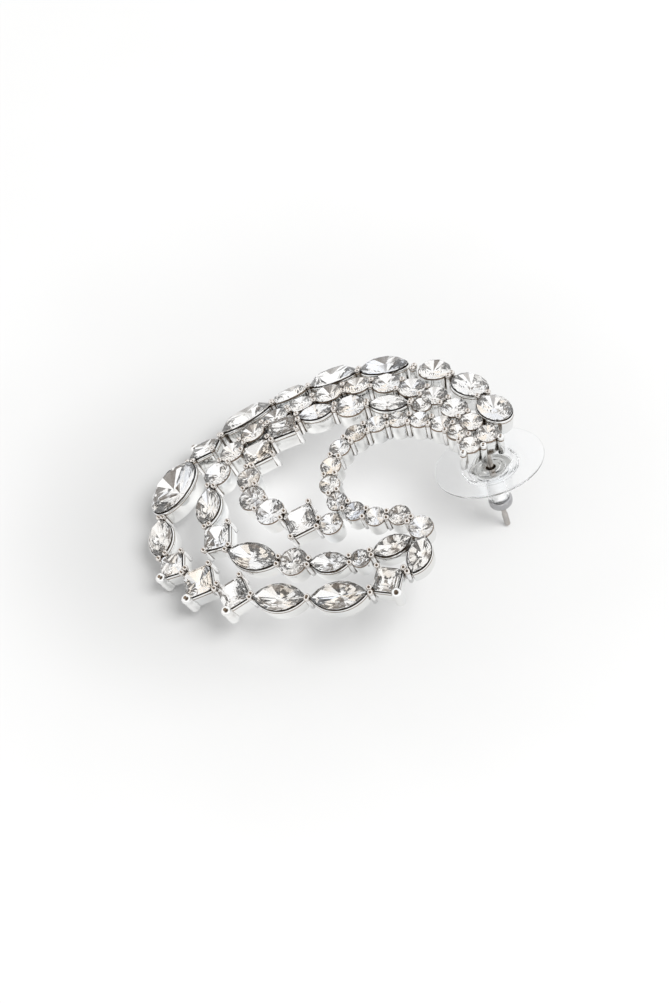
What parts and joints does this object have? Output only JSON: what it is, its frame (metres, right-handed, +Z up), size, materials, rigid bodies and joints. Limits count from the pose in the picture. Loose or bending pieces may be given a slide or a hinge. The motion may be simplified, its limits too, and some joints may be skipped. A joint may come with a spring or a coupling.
{
  "type": "half-hoop earring",
  "caption": "C-shaped crystal earring: curved strands of stones in prong cups, spread like a fan, with an ear post and a clear disc clutch.",
  "frame": {"origin": "centre of the bounding box, on the surface that the earring lies on", "axes": "+Z up from the surface, +X from the fan's far bend towards the ear post, +Y towards the bend of large ovals"},
  "size_m": [0.0428, 0.0348, 0.0122],
  "materials": {
    "silver_metal": "bright polished silver-coloured plating",
    "crystal": "faceted clear crystal with a mirror backing",
    "clear_plastic": "clear moulded plastic, glossy"
  },
  "bodies": {
    "root": {"marquise_stone_2_2": "crystal", "marquise_stone_2_4": "crystal", "marquise_stone_3_13": "crystal", "marquise_stone_3_15": "crystal", "marquise_stone_3_17": "crystal", "marquise_stone_3_19": "crystal", "marquise_stone_4_10": "crystal", "marquise_stone_4_14": "crystal", "marquise_stone_4_15": "crystal", "marquise_stone_4_17": "crystal", "oval_stone_4_1": "crystal", "oval_stone_4_2": "crystal", "oval_stone_4_4": "crystal", "oval_stone_4_5": "crystal", "oval_stone_4_7": "crystal", "oval_stone_4_9": "crystal", "setting_frame": "silver_metal"},
    "clutch": {"clutch_disc": "clear_plastic", "clutch_insert": "silver_metal"}
  },
  "joints": [
    {"name": "clutch_slide", "type": "slide", "parent": "root", "child": "clutch", "axis": [0.2047, -0.2411, -0.9487], "range_m": [-0.0008, 0.0074]}
  ]
}
